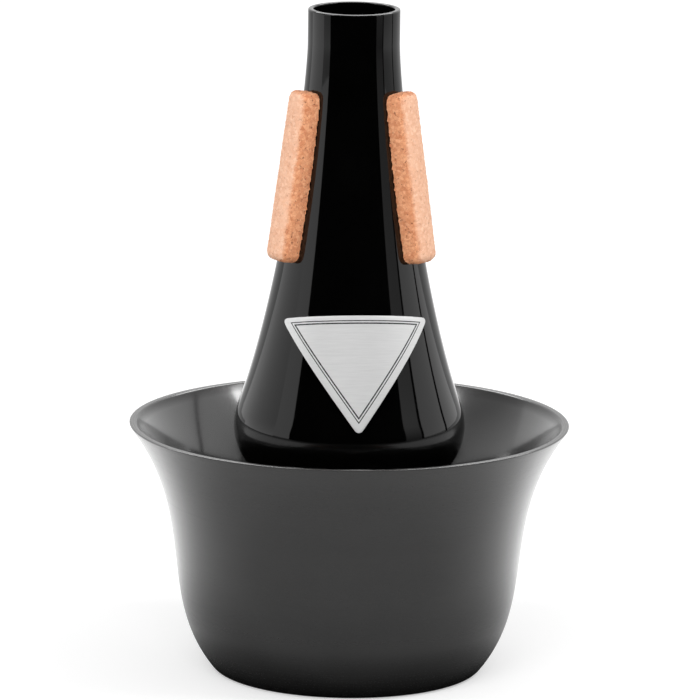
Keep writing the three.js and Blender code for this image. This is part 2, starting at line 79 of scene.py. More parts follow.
CUP_PAINTED_SHADE_HEIGHTS = (25 * MM, 72 * MM)  # between them its outside grows paler upwards: painted shade, darker towards the foot
CUP_COAT_HEIGHT = 35 * MM  # up to here the sheen of its outside grows
CUP_OUTER_COAT, CUP_INNER_COAT = 0.22, 0.78  # the inner is added to the outer

# Cone
CONE_BASE_FLAT_RADIUS = 17.3 * MM
CONE_BASE_EDGE = 17.4 * MM
CONE_FLANK_ANGLE = math.radians(19.6)
CONE_WALL = 1.6 * MM
TUBE_RADIUS = 13.7 * MM
TUBE_LENGTH = 10 * MM
TUBE_LIP_ROUND = 0.5 * MM
FLANK_HANDLE_SHARE = 0.363
TUBE_HANDLE_SHARE = 0.108
CAP_OPENING_RADIUS = 15.3 * MM

# Stud stack
STUD_THREAD_PITCH = 1.25 * MM
STUD_THREAD_DEPTH = 0.68 * MM
STUD_THREAD_SHARES = ((0, 0.0), (1, 0.4), (1, 0.55), (0, 0.95), (0, 1))  # of depth and pitch
STUD_THREAD_STEPS = 48
STUD_SHADE_ANGLE = math.radians(25)
STUD_END_CHAMFER = 0.9 * MM
STUD_HOLE_RADIUS = 4.25 * MM
NUT_ACROSS_FLATS = 13 * MM
NUT_CHAMFER = 0.9 * MM
NUT_EDGES = (0.12 * MM, 2, 35)
BUSH_SLEEVE_RADIUS = 5.9 * MM
BUSH_FLANGE = 1.2 * MM
SEAT_PLATE = 1.2 * MM
SEAT_COLLAR_RADIUS = 5.9 * MM
CAP_FLANGE = 2.5 * MM
CAP_BOSS_RADIUS = 8.5 * MM
CAP_SPIGOT_GAP = 0.1 * MM
CAP_BEDDING = 0.2 * MM  # between the cap's flange and the cone's floor
EDGE_BREAK = 0.3 * MM
FELT_FUZZ_SIZE = 0.6 * MM
FELT_FUZZ_RELIEF = 0.3 * MM

# Spring
SPRING_RADIUS = 7.2 * MM
SPRING_WIRE = 1.4 * MM
SPRING_CURLS = 6
SPRING_STEPS = 72  # in each turn
SPRING_WIRE_STEPS = 20

# Thumb nut
KNOB_WHEEL = 9 * MM
KNOB_FLUTES = 18
KNOB_FLUTE_RADIUS = 1.5 * MM
KNOB_FLUTE_DEPTH = 0.9 * MM
KNOB_BEVEL = 0.8 * MM
KNOB_EDGES = (0.25 * MM, 3, 28)
KNOB_STEPS = 144
KNOB_FLUTE_STEPS = 24
KNOB_NECK_RADIUS = 7.6 * MM
KNOB_POCKET_RADIUS = 5.75 * MM
KNOB_MOUTH_RADIUS = 4.7 * MM
KNOB_FLOOR = 1.6 * MM

# Corks
CORK_TOP_HEIGHT = 177.3 * MM
CORK_LENGTH = 51.3 * MM
CORK_WIDTH = 10.5 * MM
CORK_THICKNESS = 6 * MM
CORK_CROWN = 0.5 * MM
CORK_EDGE_ROUND = 3 * MM
CORK_END_ROUND = 2.6 * MM
CORK_EDGE_STEPS, CORK_END_STEPS = 6, 5
CORK_TAPER = -0.07  # narrower and thinner towards the tube, by this much over its length
CORK_ROOT = 4.5 * MM
CORK_TURNS = {"cork_left": -60, "cork_right": 60, "cork_rear": 180}
CORK_VOXEL = 0.26 * MM
CORK_GRAIN_SIZE = 0.9 * MM
CORK_GRAIN_RELIEF = 0.22 * MM
CORK_SPECK_SIZE = 0.8 * MM
CORK_SWELL_SIZE = 5 * MM
CORK_SWELL_RELIEF = 0.25 * MM

# Badge
BADGE_WIDTH = 48.9 * MM
BADGE_DROP = 36 * MM
BADGE_TOP_HEIGHT = 113.15 * MM
BADGE_THICKNESS = 0.6 * MM
BADGE_GLUE = 0.25 * MM
BADGE_CORNER = 2.2 * MM
BADGE_CORNER_STEPS = 8
BADGE_TURN = math.radians(4.8)
BADGE_EDGES = (0.12 * MM, 2, 60)
BADGE_CUTS = 44
KEYLINE_OUTER = 1.75 * MM
KEYLINE_OUTER_WIDTH = 0.30 * MM
KEYLINE_INNER = 2.5 * MM
KEYLINE_INNER_WIDTH = 0.42 * MM
KEYLINE_TOP_SHIFT = -0.25 * MM  # how much further in than that both lines lie under the top edge
KEYLINE_SIDE_SHIFT = 0.5 * MM  # and along the two long sides

# Steps round and along the turned pieces
SHELL_STEPS = 224
SMALL_STEPS = 96
CURVE_STEPS = 48
ROUND_STEPS = 6

# Camera and light
CAMERA_PLACE = Vector((-0.04, -2021.5, 521.0)) * MM
CAMERA_TILT = math.radians(11.83)
CAMERA_ROLL = math.radians(0.70)
CAMERA_LENS = 354.3
CAMERA_SENSOR = 36
CARD_RADIUS = 750 * MM
CARD_HEIGHT = 1000 * MM
CARD_STEPS = 720
CARD_GLOW_HEIGHT = 550 * MM  # from here up a card has its head's grey
CARD_TURN, CARD_HALF_SWEEP = math.radians(-1.5), math.radians(59)
VEIL_TURN, VEIL_HALF_SWEEP = math.radians(66.5), math.radians(9)
VEIL_FOOT_GLOW, VEIL_HEAD_GLOW = 0.08, 0.90
SHEET_TURN, SHEET_HALF_SWEEP = math.radians(-103), math.radians(23)
SHEET_FOOT_GLOW, SHEET_HEAD_GLOW = 1.20, 0.45
POST_HALF_SWEEP = math.radians(1.3)
POST_TURNS = (math.radians(77), math.radians(111))
FLOOR_RADIUS = 6000 * MM
# the second grey is a painted shadow round the mute's foot, which only the gloss sees
FLOOR_GREY, FLOOR_PAINTED_SHADOW_GREY = 0.72, 0.03
# How brightly the floor glows to the camera, from near the mute to far away
FLOOR_NEAR_GLOW, FLOOR_FAR_GLOW = 0.40, 0.60
FLOOR_GLOW_REACH = (100 * MM, 1300 * MM)
# The mute's gloss mirrors a floor with a painted shadow at its foot, dark in its colour and without glow;
# further out and behind the mute the floor glows, and it fades again far away
PAINTED_FOOT_SHADOW_REACH = (41 * MM, 63 * MM)
MIRRORED_START = (55 * MM, 140 * MM)
MIRRORED_BEHIND = (-80 * MM, 60 * MM)
MIRRORED_END = (400 * MM, 900 * MM)
TENT_LIGHT = 0.64  # of the white tent on the mute; the tent itself shows as 1
# Soft boxes: the way that each lies from the mute, its size, and how bright it is, where white is 1
BOX_DISTANCE = 1500 * MM
LEFT_BOX = (Vector((-0.60, -0.22, 0.77)), (500 * MM, 500 * MM), 3.8)
RIGHT_BOX = (Vector((0.62, -0.19, 0.76)), (500 * MM, 500 * MM), 7.0)
BACK_BOX = (Vector((0, 0.60, 0.80)), (2400 * MM, 560 * MM), 4.6)
FILL_BOX = (Vector((-0.17, -0.80, 0.57)), (1000 * MM, 1000 * MM), 1.8)

cup_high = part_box("cup_shell")[1]
cone_low, cone_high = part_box("cone_shell")
RIM_RADIUS = cup_high.x + CUP_LIP_LOSS
CUP_HEIGHT = cup_high.z
CONE_BASE = cone_low.z
CONE_TOP = cone_high.z
WELL_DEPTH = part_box("hub_bush")[0].z
HUB_TOP = WELL_DEPTH + HUB_PLATE


def cubic(a, b, c, d, steps):
    """Points along a cubic curve from a to d, with the handles b and c."""
    points = []
    for i in range(steps + 1):
        t = i / steps
        s = 1 - t
        points.append(a * s**3 + b * (3 * s * s * t) + c * (3 * s * t * t) + d * t**3)
    return points


def beside(points, distance):
    """A line's points moved to its left as it is walked."""
    moved = []
    for i, point in enumerate(points):
        before = points[max(i - 1, 0)]
        after = points[min(i + 1, len(points) - 1)]
        along = (after - before).normalized()
        moved.append(point + Vector((-along.y, along.x)) * distance)
    return moved


def between(points, low, high):
    """The part of a rising line between two heights."""
    kept = []
    for a, b in zip(points, points[1:]):
        for height in (low, high):
            if a.y < height <= b.y:
                kept.append(a.lerp(b, (height - a.y) / (b.y - a.y)))
        if low < b.y < high:
            kept.append(b)
    return sorted(kept, key=lambda point: point.y)


def rounded(corners):
    """A closed outline from its corners: radius, height and, where a corner is rounded, how far."""
    places = [Vector(corner[:2]) for corner in corners]
    points = []
    for i, corner in enumerate(corners):
        rounding = corner[2] if len(corner) > 2 else 0
        place, before, after = places[i], places[i - 1], places[(i + 1) % len(places)]
        if not rounding:
            points.append(place)
            continue
        reach = min(rounding, (before - place).length / 2, (after - place).length / 2)
        start = place + (before - place).normalized() * reach
        end = place + (after - place).normalized() * reach
        for k in range(ROUND_STEPS + 1):
            t = k / ROUND_STEPS
            points.append(start * (1 - t) ** 2 + place * (2 * t * (1 - t)) + end * t * t)
    return points


def deselect():
    bpy.ops.object.select_all(action="DESELECT")


def all_of_it():
    bpy.ops.mesh.select_all(action="SELECT")


def choose(piece):
    """Makes a piece the active one and the only one selected."""
    deselect()
    bpy.context.view_layer.objects.active = piece
    piece.select_set(True)


def name_it(piece, name):
    piece.name = name
    piece.data.name = name
    return piece


def close_up(piece):
    """Merges what meets, turns the faces outwards and ends the editing."""
    all_of_it()
    bpy.ops.mesh.remove_doubles(threshold=WELD)
    bpy.ops.mesh.normals_make_consistent(inside=False)
    bpy.ops.object.mode_set(mode="OBJECT")
    bpy.ops.object.shade_smooth_by_angle(angle=SHADE_ANGLE)
    return piece


def walked(name, outline):
    """A line of edges in the plane of X and Z: one point, extruded from place to place."""
    deselect()
    bpy.ops.mesh.primitive_plane_add(size=MM, enter_editmode=True, location=(0, 0, 0))
    bpy.ops.mesh.select_mode(type="VERT")
    piece = name_it(bpy.context.object, name)
    all_of_it()
    bpy.ops.mesh.merge(type="CENTER")
    first = outline[0]
    bpy.ops.transform.translate(value=(first.x, 0, first.y))
    for here, there in zip(outline, outline[1:]):
        step = there - here
        bpy.ops.mesh.extrude_region_move(TRANSFORM_OT_translate={"value": (step.x, 0, step.y)})
    return piece


def turned(name, outline, steps=SMALL_STEPS):
    """A piece turned on the lathe: its outline is walked point by point, then spun about the axis."""
    hollow = outline[0].x > 0
    piece = walked(name, outline + outline[:1] if hollow else outline)
    all_of_it()
    bpy.ops.mesh.remove_doubles(threshold=WELD)
    all_of_it()
    bpy.ops.mesh.spin(steps=steps, angle=math.tau, center=(0, 0, 0), axis=(0, 0, 1))
    return close_up(piece)


def finish_modifier(piece, kind, **settings):
    """Adds a modifier to a piece and applies it."""
    choose(piece)
    modifier = piece.modifiers.new(kind.title(), kind)
    for name, value in settings.items():
        setattr(modifier, name, value)
    bpy.ops.object.modifier_apply(modifier=modifier.name)
    return piece


def cut_by(piece, cutter, operation="DIFFERENCE"):
    """Cuts a piece by another, which is then thrown away."""
    finish_modifier(piece, "BOOLEAN", operation=operation, solver="EXACT", object=cutter)
    bpy.data.objects.remove(cutter)
    return piece


def wind(piece, climb, turns, steps):
    """Winds a section up the axis, climbing by so much in each turn of so many steps."""
    return finish_modifier(
        piece, "SCREW", angle=math.tau, screw_offset=climb, iterations=turns, steps=steps,
        render_steps=steps, axis="Z", use_merge_vertices=True, merge_threshold=WELD,
    )


def break_edges(piece, width, steps, degrees):
    """Rounds the edges of a piece that turn by more than so many degrees."""
    return finish_modifier(
        piece, "BEVEL", width=width, segments=steps, limit_method="ANGLE",
        angle_limit=math.radians(degrees),
    )


def smooth_all(piece):
    piece.data.polygons.foreach_set("use_smooth", [True] * len(piece.data.polygons))


def edit(piece):
    """Opens a piece for editing with nothing in it selected."""
    choose(piece)
    bpy.ops.object.mode_set(mode="EDIT")
    bpy.ops.mesh.select_all(action="DESELECT")


def pick(piece, test, kind="EDGE"):
    """Selects the edges, faces or points of the open piece whose middle passes a test."""
    bpy.ops.object.mode_set(mode="OBJECT")
    mesh = piece.data
    for part in (mesh.vertices, mesh.edges, mesh.polygons):
        part.foreach_set("select", [False] * len(part))
    if kind == "FACE":
        for face in mesh.polygons:
            face.select = test(face.center, face.normal)
    elif kind == "VERT":
        for vertex in mesh.vertices:
            vertex.select = test(vertex.co)
    else:
        for edge in mesh.edges:
            a, b = (mesh.vertices[i].co for i in edge.vertices)
            edge.select = test(a, b)
    bpy.ops.object.mode_set(mode="EDIT")
    bpy.ops.mesh.select_mode(type=kind)


def apply_place(piece):
    """Leaves the piece at the origin, unturned, with its place in its mesh."""
    choose(piece)
    bpy.ops.object.transform_apply(location=True, rotation=True, scale=True)
    return piece


class Shade:
    """One value in a finish. An expression on it adds the Math nodes that work it out."""

    def __init__(self, finish, socket):
        self.finish = finish
        self.socket = socket

    def reckon(self, operation, *values):
        return self.finish.node("ShaderNodeMath", {"operation": operation}, dict(enumerate(values)))

    def __add__(self, other):
        return self.reckon("ADD", self, other)

    def __sub__(self, other):
        return self.reckon("SUBTRACT", self, other)

    def __rsub__(self, other):
        return self.reckon("SUBTRACT", other, self)

    def __mul__(self, other):
        return self.reckon("MULTIPLY", self, other)

    def __pow__(self, other):
        return self.reckon("POWER", self, other)

    def __abs__(self):
        return self.reckon("ABSOLUTE", self)

    def __lt__(self, other):
        return self.reckon("LESS_THAN", self, other)

    def __gt__(self, other):
        return self.reckon("GREATER_THAN", self, other)

    __radd__ = __add__
    __rmul__ = __mul__

    def least(self, other):
        return self.reckon("MINIMUM", self, other)

    def most(self, other):
        return self.reckon("MAXIMUM", self, other)

    def spread(self, low, high, start=0.0, end=1.0):
        """This value carried from low..high to start..end, and held at the ends."""
        return self.finish.node("ShaderNodeMapRange", {}, {0: self, 1: low, 2: high, 3: start, 4: end})


class Finish:
    """A material, or the studio's surroundings, put together from nodes."""

    def __init__(self, owner):
        owner.use_nodes = True
        self.owner = owner
        self.tree = owner.node_tree

    def node(self, kind, settings, inputs, output=0):
        made = self.tree.nodes.new(kind)
        for name, value in settings.items():
            setattr(made, name, value)
        for name, value in inputs.items():
            self.feed(made.inputs[name], value)
        return Shade(self, made.outputs[output])

    def feed(self, socket, value):
        if isinstance(value, Shade):
            self.tree.links.new(value.socket, socket)
        else:
            socket.default_value = value

    def place(self):
        return self.node("ShaderNodeTexCoord", {}, {}, "Object")

    def stretched(self, place, scale):
        return self.node("ShaderNodeVectorMath", {"operation": "MULTIPLY"}, {0: place, 1: scale})

    def parts(self, place):
        """The X, Y and Z of a place, in metres."""
        made = self.node("ShaderNodeSeparateXYZ", {}, {0: place})
        return [Shade(self, socket) for socket in made.socket.node.outputs]

    def noise(self, place, size, detail, rough=0.5):
        """Cloudy noise from 0 to 1 whose lumps are about as large as the size given."""
        inputs = {"Vector": place, "Scale": 1 / size, "Detail": detail, "Roughness": rough}
        return self.node("ShaderNodeTexNoise", {}, inputs)

    def cells(self, place, size, feature="F1", output="Distance"):
        inputs = {"Vector": place, "Scale": 1 / size}
        return self.node("ShaderNodeTexVoronoi", {"feature": feature}, inputs, output)

    def mixed(self, share, first, second):
        """Two colours mixed: the first where share is 0, the second where it is 1."""
        return self.node("ShaderNodeMix", {"data_type": "RGBA"}, {0: share, 6: first, 7: second}, 2)

    def bump(self, height, depth, strength=1.0):
        """A relief: height from 0 to 1 stands for the depth given, in metres."""
        inputs = {"Strength": strength, "Distance": depth, "Height": height}
        return self.node("ShaderNodeBump", {}, inputs)

    def dress(self, **sockets):
        """Sets or links the sockets of the surface shader, named with _ for each space."""
        surface = self.tree.nodes["Principled BSDF"]
        for name, value in sockets.items():
            self.feed(surface.inputs[name.replace("_", " ")], value)
        return self.owner


def grey(level, warm=0.0):
    return (level * (1 + warm), level, level * (1 - warm), 1)


def black_lacquer():
    """Sprayed and polished black lacquer: mirror gloss, a breath of orange peel, fine wiping marks."""
    finish = Finish(bpy.data.materials.new("black_lacquer"))
    place = finish.place()
    peel = finish.noise(place, 2.2 * MM, 2.0)
    wiping = finish.noise(finish.stretched(place, (1, 1, 9)), 3 * MM, 5.0, 0.65)
    clouds = finish.noise(place, 24 * MM, 3.0)
    return finish.dress(
        Base_Color=finish.mixed(clouds.spread(0.35, 0.7), grey(0.0005), grey(0.0010)),
        Roughness=wiping.spread(0.45, 0.8, 0.030, 0.075) + clouds.spread(0.3, 0.7, 0.0, 0.02),
        Normal=finish.bump(peel, 0.004 * MM, 0.5),
        IOR=1.5,
    )


def satin_graphite():
    """Spun aluminium, anodised graphite: satin outside with faint spinning rings, glossier inside. Painted
    shade darkens its outside towards the foot.
    """
    finish = Finish(bpy.data.materials.new("satin_graphite"))
    place = finish.place()
    x, y, z = finish.parts(place)
    inside = finish.node("ShaderNodeAttribute", {"attribute_name": "inside"}, {}, "Fac")
    across = (x * x + y * y) ** 0.5
    rings = finish.node("ShaderNodeCombineXYZ", {}, {0: across, 1: z})
    ringed = finish.noise(rings, 0.35 * MM, 2.0, 0.6)
    broad = finish.noise(rings, 5 * MM, 2.0)
    mottle = finish.noise(place, 9 * MM, 4.0, 0.6)
    grain = finish.noise(place, 0.5 * MM, 3.0, 0.7)
    tone = mottle * 0.6 + broad * 0.4
    # painted shade: the outside's colour darkens from the flare down to the foot; the mottled tone added
    # to it is the metal's own
    tone_and_painted_foot_shade = z.spread(*CUP_PAINTED_SHADE_HEIGHTS, 0.0, 0.6) + tone.spread(0.3, 0.7, 0.0, 0.4)
    outer = finish.mixed(tone_and_painted_foot_shade, grey(0.003, 0.03), grey(0.012, 0.03))
    inner = finish.mixed(tone.spread(0.3, 0.7), grey(0.007), grey(0.013))
    return finish.dress(
        Base_Color=finish.mixed(inside, outer, inner),
        Roughness=0.22 + ringed * 0.05 + grain * 0.04 - inside * 0.05,
        Normal=finish.bump(ringed * 0.7 + grain * 0.3, 0.008 * MM, 0.5),
        IOR=1.5,
        Coat_Weight=z.spread(0.0, CUP_COAT_HEIGHT, 0.0, CUP_OUTER_COAT) + inside * CUP_INNER_COAT,
        Coat_Roughness=0.11,
        Coat_IOR=1.6,
    )


def agglomerated_cork():
    """Pressed cork: packed tan granules with brown skins, dark pores and a dry, crumbly surface."""
    finish = Finish(bpy.data.materials.new("agglomerated_cork"))
    place = finish.place()
    wander = finish.node(
        "ShaderNodeTexNoise", {}, {"Vector": place, "Scale": 1 / (1.5 * MM), "Detail": 2.0}, "Color"
    )
    nudge = finish.node("ShaderNodeVectorMath", {"operation": "SCALE"}, {0: wander, "Scale": 0.9 * MM})
    warped = finish.node("ShaderNodeVectorMath", {"operation": "ADD"}, {0: place, 1: nudge})
    tint = finish.cells(warped, CORK_GRAIN_SIZE, output="Color")
    shade, hue, _ = finish.parts(tint)
    seams = finish.cells(warped, CORK_GRAIN_SIZE, "DISTANCE_TO_EDGE")
    fine = finish.noise(place, 0.28 * MM, 4.0, 0.75)
    patches = finish.noise(place, 6 * MM, 3.0)
    chosen, _, _ = finish.parts(finish.cells(warped, CORK_SPECK_SIZE, output="Color"))
    crumbs = finish.noise(warped, CORK_SPECK_SIZE, 3.0, 0.65)
    outer = finish.node("ShaderNodeAttribute", {"attribute_name": "outer"}, {}, "Fac")
    faced = (outer + patches * 0.5 + fine * 0.2).spread(0.80, 1.10)
    speck = crumbs.spread(0.60, 0.66) * (chosen > 0.35) * (1 - faced * 0.55)
    skin = seams.spread(0.0, 0.12, 1.0, 0.0) * fine.spread(0.35, 0.60)
    mottle = shade * 0.50 + fine.spread(0.3, 0.7) * 0.50
    face = finish.mixed(mottle, (0.80, 0.42, 0.26, 1), (0.95, 0.62, 0.44, 1))
    side = finish.mixed(mottle, (0.62, 0.22, 0.09, 1), (0.92, 0.48, 0.27, 1))
    rust, dark = (0.50, 0.150, 0.065, 1), (0.22, 0.055, 0.024, 1)
    body = finish.mixed(faced, side, face)
    body = finish.mixed(hue.spread(0.72, 0.90, 0.0, 0.45) * (1 - faced * 0.6), body, rust)
    body = finish.mixed(skin * 0.55 * (1 - faced * 0.6), body, rust)
    relief = 0.6 + fine * 0.4 - skin * 0.2 - speck * 0.6
    return finish.dress(
        Base_Color=finish.mixed(speck * 0.85, body, dark),
        Roughness=0.78 + fine * 0.15,
        Normal=finish.bump(relief, 0.16 * MM, 0.9),
        IOR=1.4,
    )


def brushed_plate():
    """Brushed aluminium badge with two printed keylines round its border, and nothing inside them."""
    finish = Finish(bpy.data.materials.new("brushed_plate"))
    flat = finish.node("ShaderNodeUVMap", {"uv_map": "plate"}, {})
    side, depth, _ = finish.parts(flat)
    tip = math.atan2(BADGE_WIDTH / 2, BADGE_DROP)
    from_side = ((BADGE_DROP - depth) * math.tan(tip) - abs(side)) * math.cos(tip)
    inward = (depth - KEYLINE_TOP_SHIFT).least(from_side - KEYLINE_SIDE_SHIFT)
    outer = abs(inward - KEYLINE_OUTER) < KEYLINE_OUTER_WIDTH / 2
    inner = abs(inward - KEYLINE_INNER) < KEYLINE_INNER_WIDTH / 2
    wear = finish.noise(flat, 1.2 * MM, 4.0, 0.7)
    ink = outer.most(inner) * wear.spread(0.25, 0.5, 0.75, 1.0)
    streaks = finish.noise(finish.stretched(flat, (0.02, 1, 1)), 0.10 * MM, 3.0, 0.6)
    long_streaks = finish.noise(finish.stretched(flat, (0.05, 1, 1)), 0.6 * MM, 3.0)
    bright = streaks * 0.6 + long_streaks * 0.4
    metal = finish.mixed(bright.spread(0.25, 0.75), grey(0.66), grey(0.80))
    return finish.dress(
        Base_Color=finish.mixed(ink, metal, grey(0.012)),
        Metallic=0.40 - ink * 0.40,
        Roughness=0.42 + streaks * 0.14 + ink * 0.1,
        Normal=finish.bump(streaks - ink * 0.2, 0.006 * MM, 0.6),
        IOR=1.5,
    )


def zinc_steel():
    """Bright zinc over steel, with turning marks and dull handling spots."""
    finish = Finish(bpy.data.materials.new("zinc_steel"))
    place = finish.place()
    spots = finish.noise(place, 2.5 * MM, 4.0, 0.6)
    lines = finish.noise(finish.stretched(place, (1, 1, 0.2)), 0.25 * MM, 2.0)
    return finish.dress(
        Base_Color=finish.mixed(spots.spread(0.3, 0.7), (0.42, 0.43, 0.45, 1), (0.60, 0.61, 0.62, 1)),
        Metallic=1.0,
        Roughness=0.22 + spots * 0.18 + lines * 0.06,
        Normal=finish.bump(lines, 0.005 * MM, 0.5),
    )


def turned_brass():
    """Turned brass, a little tarnished."""
    finish = Finish(bpy.data.materials.new("turned_brass"))
    place = finish.place()
    tarnish = finish.noise(place, 3 * MM, 4.0, 0.6)
    marks = finish.noise(finish.stretched(place, (0.3, 0.3, 1)), 0.2 * MM, 2.0)
    return finish.dress(
        Base_Color=finish.mixed(tarnish.spread(0.4, 0.75), (0.66, 0.44, 0.16, 1), (0.42, 0.25, 0.09, 1)),
        Metallic=1.0,
        Roughness=0.20 + tarnish * 0.2 + marks * 0.06,
        Normal=finish.bump(marks, 0.006 * MM, 0.5),
    )


def black_nylon():
    """Moulded black nylon with a fine sparked texture."""
    finish = Finish(bpy.data.materials.new("black_nylon"))
    place = finish.place()
    spark = finish.noise(place, 0.28 * MM, 2.0, 0.6)
    dust = finish.noise(place, 5 * MM, 5.0, 0.65)
    return finish.dress(
        Base_Color=finish.mixed(dust.spread(0.5, 0.8), grey(0.010), grey(0.028)),
        Roughness=0.42 + spark * 0.16 + dust * 0.08,
        Normal=finish.bump(spark, 0.03 * MM, 0.5),
    )


def wool_felt():
    """Pressed wool felt: matted fibres, paler on the nap."""
    finish = Finish(bpy.data.materials.new("wool_felt"))
    place = finish.place()
    fibres = finish.noise(finish.stretched(place, (1, 0.35, 1)), 0.22 * MM, 4.0, 0.75)
    crossed = finish.noise(finish.stretched(place, (0.35, 1, 1)), 0.22 * MM, 4.0, 0.75)
    nap = fibres.most(crossed)
    return finish.dress(
        Base_Color=finish.mixed(nap.spread(0.4, 0.75), (0.46, 0.42, 0.34, 1), (0.70, 0.66, 0.56, 1)),
        Roughness=0.95,
        Normal=finish.bump(nap, 0.12 * MM, 0.9),
        Sheen_Weight=0.35,
    )


FINISHES = {
    "cup": satin_graphite(),
    "cone": black_lacquer(),
    "cork": agglomerated_cork(),
    "badge": brushed_plate(),
    "steel": zinc_steel(),
    "brass": turned_brass(),
    "black_plastic": black_nylon(),
    "felt": wool_felt(),
}
SLOT_OF = {part["node"]: part["material_slot"] for part in frame["record"]["subparts"]}
BODIES = frame["record"]["behaviour"]["bodies"]
BODY_OF = {node: body for body, nodes in BODIES.items() for node in nodes}


def stand_for(piece, node):
    """Gives a finished piece the finish, the body and the place of the CAD node that it stands for."""
    slot = SLOT_OF[node]
    piece.data.materials.clear()
    piece.data.materials.append(FINISHES[slot])
    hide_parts(node)
    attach(piece, BODY_OF[node])
    return piece


def cup_wall():
    """The cubic of the cup's outside: its foot, its two handles and its rim."""
    belly_radius, belly_height = CUP_BELLY_SHARES
    waist_radius, waist_height = CUP_WAIST_SHARES
    return (
        Vector((CUP_FOOT_RADIUS, 0)),
        Vector((RIM_RADIUS * belly_radius, CUP_HEIGHT * belly_height)),
        Vector((RIM_RADIUS * waist_radius, CUP_HEIGHT * waist_height)),
        Vector((RIM_RADIUS, CUP_HEIGHT)),
    )


def cup_body():
    """The spun cup with the well for the thumb nut pressed up into its base."""
    outside = cubic(*cup_wall(), CURVE_STEPS)
    lining = between(beside(outside, CUP_WALL), CUP_WALL, CUP_HEIGHT)
    floor_edge, lip = lining[0], lining[-1]
    outline = rounded([
        (BUSH_SLEEVE_RADIUS + HUB_HOLE_GAP, WELL_DEPTH),
        (WELL_RADIUS, WELL_DEPTH, WELL_ROUND),
        (WELL_RADIUS, 0, WELL_MOUTH_ROUND),
        (CUP_FOOT_RADIUS, 0, CUP_FOOT_ROUND),
        *outside[2:-1],
        (RIM_RADIUS, CUP_HEIGHT, CUP_LIP_ROUND),
        (*lip, CUP_LIP_ROUND),
        *reversed(lining[3:-1]),
        (*floor_edge, CUP_FLOOR_ROUND),
        (WELL_RADIUS + CUP_WALL, CUP_WALL, CUP_FLOOR_ROUND),
        (WELL_RADIUS + CUP_WALL, HUB_TOP, WELL_ROUND),
        (BUSH_SLEEVE_RADIUS + HUB_HOLE_GAP, HUB_TOP),
    ])
    piece = turned("cup_body", outline, SHELL_STEPS)
    mark_inside(piece, outside)
    return stand_for(piece, "cup_shell")


def mark_inside(piece, outside):
    """Marks each point that lies on the cup's inner side, for its glossier finish."""
    marks = piece.data.attributes.new("inside", "FLOAT", "POINT")
    for mark, vertex in zip(marks.data, piece.data.vertices):
        across, height = math.hypot(vertex.co.x, vertex.co.y), vertex.co.z
        wall = next((point.x for point in outside if point.y >= height), RIM_RADIUS)
        in_bowl = across < wall - CUP_SKIN and CUP_SKIN < height < CUP_HEIGHT - CUP_LIP_BAND
        under_hub = across < WELL_RADIUS + CUP_SKIN and height < HUB_TOP - HUB_SKIN
        mark.value = 1.0 if in_bowl and not under_hub else 0.0


def cone_outline():
    """The cone's outside from the flat of its base, round its edge, up the flank and the tube."""
    centre = Vector((CONE_BASE_FLAT_RADIUS, CONE_BASE + CONE_BASE_EDGE))
    edge = []
    for i in range(CURVE_STEPS // 2 + 1):
        angle = -math.pi / 2 + (CONE_FLANK_ANGLE + math.pi / 2) * 2 * i / CURVE_STEPS
        edge.append(centre + Vector((math.cos(angle), math.sin(angle))) * CONE_BASE_EDGE)
    foot = edge[-1]
    tube_foot = Vector((TUBE_RADIUS, CONE_TOP - TUBE_LENGTH))
    rise = tube_foot.y - foot.y
    climb = Vector((-math.sin(CONE_FLANK_ANGLE), math.cos(CONE_FLANK_ANGLE)))
    flank = cubic(
        foot,
        foot + climb * (rise * FLANK_HANDLE_SHARE),
        Vector((TUBE_RADIUS, tube_foot.y - rise * TUBE_HANDLE_SHARE)),
        tube_foot,
        CURVE_STEPS,
    )
    return edge + flank[1:] + [Vector((TUBE_RADIUS, CONE_TOP))]


def cone_body():
    """The lacquered cone with its open tube."""
    outside = cone_outline()
    inside = beside(outside, CONE_WALL)
    outline = rounded([
        (CAP_OPENING_RADIUS, CONE_BASE, EDGE_BREAK),
        *outside[:-1],
        (TUBE_RADIUS, CONE_TOP, TUBE_LIP_ROUND),
        (TUBE_RADIUS - CONE_WALL, CONE_TOP, TUBE_LIP_ROUND),
        *reversed(inside[:-1]),
        (CAP_OPENING_RADIUS, CONE_BASE + CONE_WALL, EDGE_BREAK),
    ])
    return stand_for(turned("cone_body", outline, SHELL_STEPS), "cone_shell")


def flank_point(height):
    """Where the flank is at a height, as radius and height."""
    outside = cone_outline()
    for a, b in zip(outside, outside[1:]):
        if a.y < height <= b.y:
            return a.lerp(b, (height - a.y) / (b.y - a.y))
    return outside[-1]


def cork_bed():
    """The cone filled in, to cut the backs of the corks."""
    surface = beside(cone_outline(), -TOUCH)
    foot, top = surface[0], surface[-1]
    return turned("cork_bed", [Vector((0, foot.y)), *surface, Vector((0, top.y))], SMALL_STEPS * 2)


def relief_texture(name, kind, size, **settings):
    texture = bpy.data.textures.new(name, kind)
    texture.noise_scale = size
    for setting, value in settings.items():
        setattr(texture, setting, value)
    return texture


